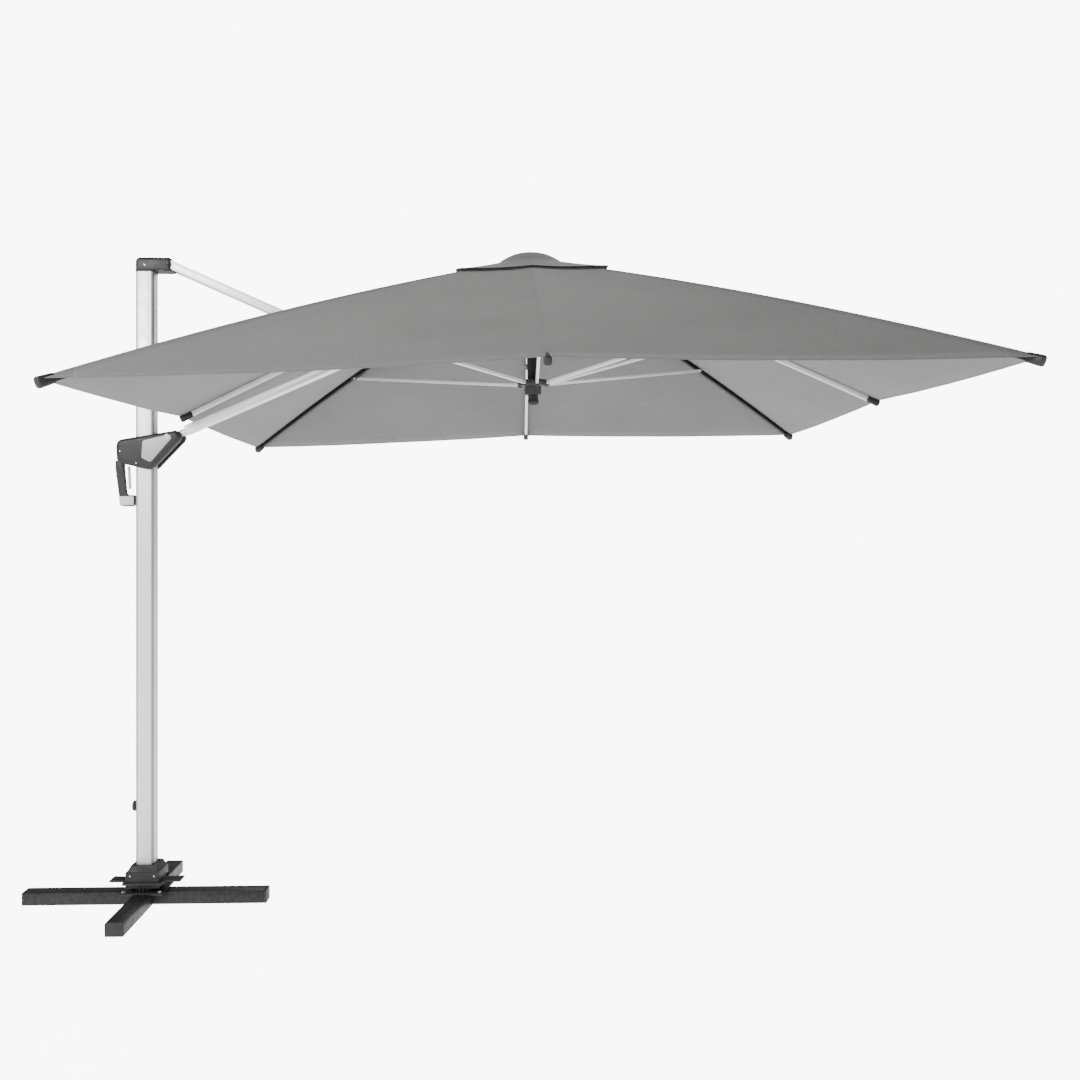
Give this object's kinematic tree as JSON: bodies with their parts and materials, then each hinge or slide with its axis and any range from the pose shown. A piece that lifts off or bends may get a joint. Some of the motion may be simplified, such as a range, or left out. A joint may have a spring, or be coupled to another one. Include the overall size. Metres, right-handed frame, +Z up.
{
  "type": "cantilever parasol",
  "caption": "Free-standing cantilever parasol: cross base, swivelling mast, sliding-handle boom linkage and a folding square canopy with a vent.",
  "frame": {"origin": "on the ground at the mast axis, in the plane the cross base stands on", "axes": "+Z up, +X from the mast towards the canopy, Y across it; near is -Y and far is +Y"},
  "size_m": [3.6636, 3.0142, 2.772],
  "materials": {
    "black_steel": "satin powder coat",
    "alloy": "matt silver powder coat",
    "bare_metal": "zinc plated",
    "grey_plastic": "fine spark texture",
    "pale_plastic": "satin",
    "canopy_cloth": "plain weave polyester, matt"
  },
  "bodies": {
    "base": {"base_beam_long": "black_steel", "base_beam_front": "black_steel", "base_beam_back": "black_steel", "end_cap_left": "grey_plastic", "end_cap_right": "grey_plastic", "end_cap_front": "grey_plastic", "end_cap_back": "grey_plastic", "base_plate": "black_steel", "spigot_tube": "bare_metal", "locking_ring": "black_steel"},
    "mast": {"mast_tube": "alloy", "swivel_bush": "pale_plastic", "base_collar": "grey_plastic", "mast_head": "grey_plastic"},
    "pedal": {"foot_pedal": "grey_plastic"},
    "knob": {"lock_knob": "grey_plastic"},
    "arm": {"arm_bar_near": "alloy", "arm_bar_far": "alloy", "arm_spacer": "grey_plastic", "head_pin": "bare_metal", "elbow_pin": "bare_metal"},
    "boom": {"boom_tube": "alloy", "boom_heel": "bare_metal", "boom_tongue": "bare_metal"},
    "slider": {"slider_shell_near": "grey_plastic", "slider_shell_far": "grey_plastic", "slider_liner": "pale_plastic", "heel_pin": "bare_metal", "grip": "grey_plastic"},
    "lever": {"grip_lever": "pale_plastic"},
    "crown": {"crown_hub": "grey_plastic", "crown_pin": "bare_metal", "crown_wire": "bare_metal", "centre_post": "alloy", "vent_canopy": "canopy_cloth"},
    "runner": {"runner": "grey_plastic", "runner_wire": "bare_metal"},
    "rib_right": {"rib_right": "alloy", "panel_right": "canopy_cloth"},
    "rib_far_right": {"rib_far_right": "alloy", "panel_far_right": "canopy_cloth"},
    "rib_far": {"rib_far": "alloy", "panel_far": "canopy_cloth"},
    "rib_far_left": {"rib_far_left": "alloy", "panel_far_left": "canopy_cloth"},
    "rib_left": {"rib_left": "alloy", "panel_left": "canopy_cloth"},
    "rib_near_left": {"rib_near_left": "alloy", "panel_near_left": "canopy_cloth"},
    "rib_near": {"rib_near": "alloy", "panel_near": "canopy_cloth"},
    "rib_near_right": {"rib_near_right": "alloy", "panel_near_right": "canopy_cloth"},
    "strut_right": {"strut_right": "alloy"},
    "strut_far_right": {"strut_far_right": "alloy"},
    "strut_far": {"strut_far": "alloy"},
    "strut_far_left": {"strut_far_left": "alloy"},
    "strut_near_left": {"strut_near_left": "alloy"},
    "strut_near": {"strut_near": "alloy"},
    "strut_near_right": {"strut_near_right": "alloy"}
  },
  "joints": [
    {"name": "mast_swivel", "type": "hinge", "parent": "base", "child": "mast", "pos_m": [0, 0, 0.08], "axis": [0, 0, 1], "continuous": true},
    {"name": "pedal_press", "type": "hinge", "parent": "mast", "child": "pedal", "pos_m": [0, 0, 0.098], "axis": [0, -1, 0], "range_deg": [0, 6]},
    {"name": "knob_turn", "type": "hinge", "parent": "mast", "child": "knob", "pos_m": [-0.0375, 0, 0.41], "axis": [-1, 0, 0], "range_deg": [0, 350]},
    {"name": "arm_fold", "type": "hinge", "parent": "mast", "child": "arm", "pos_m": [0.1, 0, 2.709], "axis": [0, 1, 0], "range_deg": [0, 61.2], "deforming": ["panel_right", "panel_far_right", "panel_far", "panel_far_left", "panel_left", "panel_near_left", "panel_near", "panel_near_right", "vent_canopy"]},
    {"name": "elbow_fold", "type": "hinge", "parent": "arm", "child": "boom", "pos_m": [0.92987, 0, 2.34298], "axis": [0, 1, 0], "range_deg": [-122.5, 0.1]},
    {"name": "slider_travel", "type": "hinge", "parent": "boom", "child": "slider", "pos_m": [0.1, 0, 1.97697], "axis": [0, 1, 0], "range_deg": [-0.1, 61.3]},
    {"name": "lever_squeeze", "type": "hinge", "parent": "slider", "child": "lever", "pos_m": [-0.076, 0, 1.84897], "axis": [0, 1, 0], "range_deg": [0, 5]},
    {"name": "crown_level", "type": "hinge", "parent": "boom", "child": "crown", "pos_m": [1.56028, 0, 2.62103], "axis": [0, 1, 0], "range_deg": [-0.1, 61.3]},
    {"name": "fold_rib_right", "type": "hinge", "parent": "crown", "child": "rib_right", "pos_m": [1.74917, 0, 2.704], "axis": [0, 1, 0], "range_deg": [-0.1, 62.32]},
    {"name": "fold_rib_far_right", "type": "hinge", "parent": "crown", "child": "rib_far_right", "pos_m": [1.71403, 0.08485, 2.70308], "axis": [-0.7069, 0.7071, -0.0185], "range_deg": [-0.1, 68.37]},
    {"name": "fold_rib_far", "type": "hinge", "parent": "crown", "child": "rib_far", "pos_m": [1.62921, 0.12, 2.70086], "axis": [-0.9997, 0, -0.0262], "range_deg": [-0.1, 62.32]},
    {"name": "fold_rib_far_left", "type": "hinge", "parent": "crown", "child": "rib_far_left", "pos_m": [1.54439, 0.08485, 2.69864], "axis": [-0.7069, -0.7071, -0.0185], "range_deg": [-0.1, 68.37]},
    {"name": "fold_rib_left", "type": "hinge", "parent": "crown", "child": "rib_left", "pos_m": [1.50925, 0, 2.69772], "axis": [0, -1, 0], "range_deg": [-0.1, 60.22]},
    {"name": "fold_rib_near_left", "type": "hinge", "parent": "crown", "child": "rib_near_left", "pos_m": [1.54439, -0.08485, 2.69864], "axis": [0.7069, -0.7071, 0.0185], "range_deg": [-0.1, 68.37]},
    {"name": "fold_rib_near", "type": "hinge", "parent": "crown", "child": "rib_near", "pos_m": [1.62921, -0.12, 2.70086], "axis": [0.9997, 0, 0.0262], "range_deg": [-0.1, 62.32]},
    {"name": "fold_rib_near_right", "type": "hinge", "parent": "crown", "child": "rib_near_right", "pos_m": [1.71403, -0.08485, 2.70308], "axis": [0.7069, 0.7071, 0.0185], "range_deg": [-0.1, 68.37]},
    {"name": "runner_slide", "type": "slide", "parent": "crown", "child": "runner", "axis": [-0.0262, 0, 0.9997], "range_m": [-0.0005, 0.49999]},
    {"name": "fold_strut_right", "type": "hinge", "parent": "runner", "child": "strut_right", "pos_m": [1.70599, 0.016, 2.2137], "axis": [0, 1, 0], "range_deg": [-0.1, 95.78]},
    {"name": "fold_strut_far_right", "type": "hinge", "parent": "runner", "child": "strut_far_right", "pos_m": [1.69856, 0.03394, 2.21351], "axis": [-0.7069, 0.7071, -0.0185], "range_deg": [-0.1, 90.08]},
    {"name": "fold_strut_far", "type": "hinge", "parent": "runner", "child": "strut_far", "pos_m": [1.658, 0.064, 2.21245], "axis": [-0.9997, 0, -0.0262], "range_deg": [-0.1, 95.78]},
    {"name": "fold_strut_far_left", "type": "hinge", "parent": "runner", "child": "strut_far_left", "pos_m": [1.60808, 0.05657, 2.21114], "axis": [-0.7069, -0.7071, -0.0185], "range_deg": [-0.1, 90.08]},
    {"name": "fold_strut_near_left", "type": "hinge", "parent": "runner", "child": "strut_near_left", "pos_m": [1.60808, -0.05657, 2.21114], "axis": [0.7069, -0.7071, 0.0185], "range_deg": [-0.1, 90.08]},
    {"name": "fold_strut_near", "type": "hinge", "parent": "runner", "child": "strut_near", "pos_m": [1.658, -0.064, 2.21245], "axis": [0.9997, 0, 0.0262], "range_deg": [-0.1, 95.78]},
    {"name": "fold_strut_near_right", "type": "hinge", "parent": "runner", "child": "strut_near_right", "pos_m": [1.69856, -0.03394, 2.21351], "axis": [0.7069, 0.7071, 0.0185], "range_deg": [-0.1, 90.08]}
  ],
  "couplings": [
    {"joint": "elbow_fold", "follows": "arm_fold", "ratio": -2},
    {"joint": "slider_travel", "follows": "arm_fold", "ratio": 1},
    {"joint": "crown_level", "follows": "arm_fold", "ratio": 1},
    {"joint": "fold_rib_right", "follows": "arm_fold", "ratio": 1.0167},
    {"joint": "fold_rib_far_right", "follows": "arm_fold", "ratio": 1.1155},
    {"joint": "fold_rib_far", "follows": "arm_fold", "ratio": 1.0167},
    {"joint": "fold_rib_far_left", "follows": "arm_fold", "ratio": 1.1155},
    {"joint": "fold_rib_left", "follows": "arm_fold", "ratio": 0.9824},
    {"joint": "fold_rib_near_left", "follows": "arm_fold", "ratio": 1.1155},
    {"joint": "fold_rib_near", "follows": "arm_fold", "ratio": 1.0167},
    {"joint": "fold_rib_near_right", "follows": "arm_fold", "ratio": 1.1155},
    {"joint": "runner_slide", "follows": "arm_fold", "m_per_rad": 0.46762},
    {"joint": "fold_strut_right", "follows": "arm_fold", "ratio": 1.5635},
    {"joint": "fold_strut_far_right", "follows": "arm_fold", "ratio": 1.4703},
    {"joint": "fold_strut_far", "follows": "arm_fold", "ratio": 1.5635},
    {"joint": "fold_strut_far_left", "follows": "arm_fold", "ratio": 1.4703},
    {"joint": "fold_strut_near_left", "follows": "arm_fold", "ratio": 1.4703},
    {"joint": "fold_strut_near", "follows": "arm_fold", "ratio": 1.5635},
    {"joint": "fold_strut_near_right", "follows": "arm_fold", "ratio": 1.4703}
  ]
}
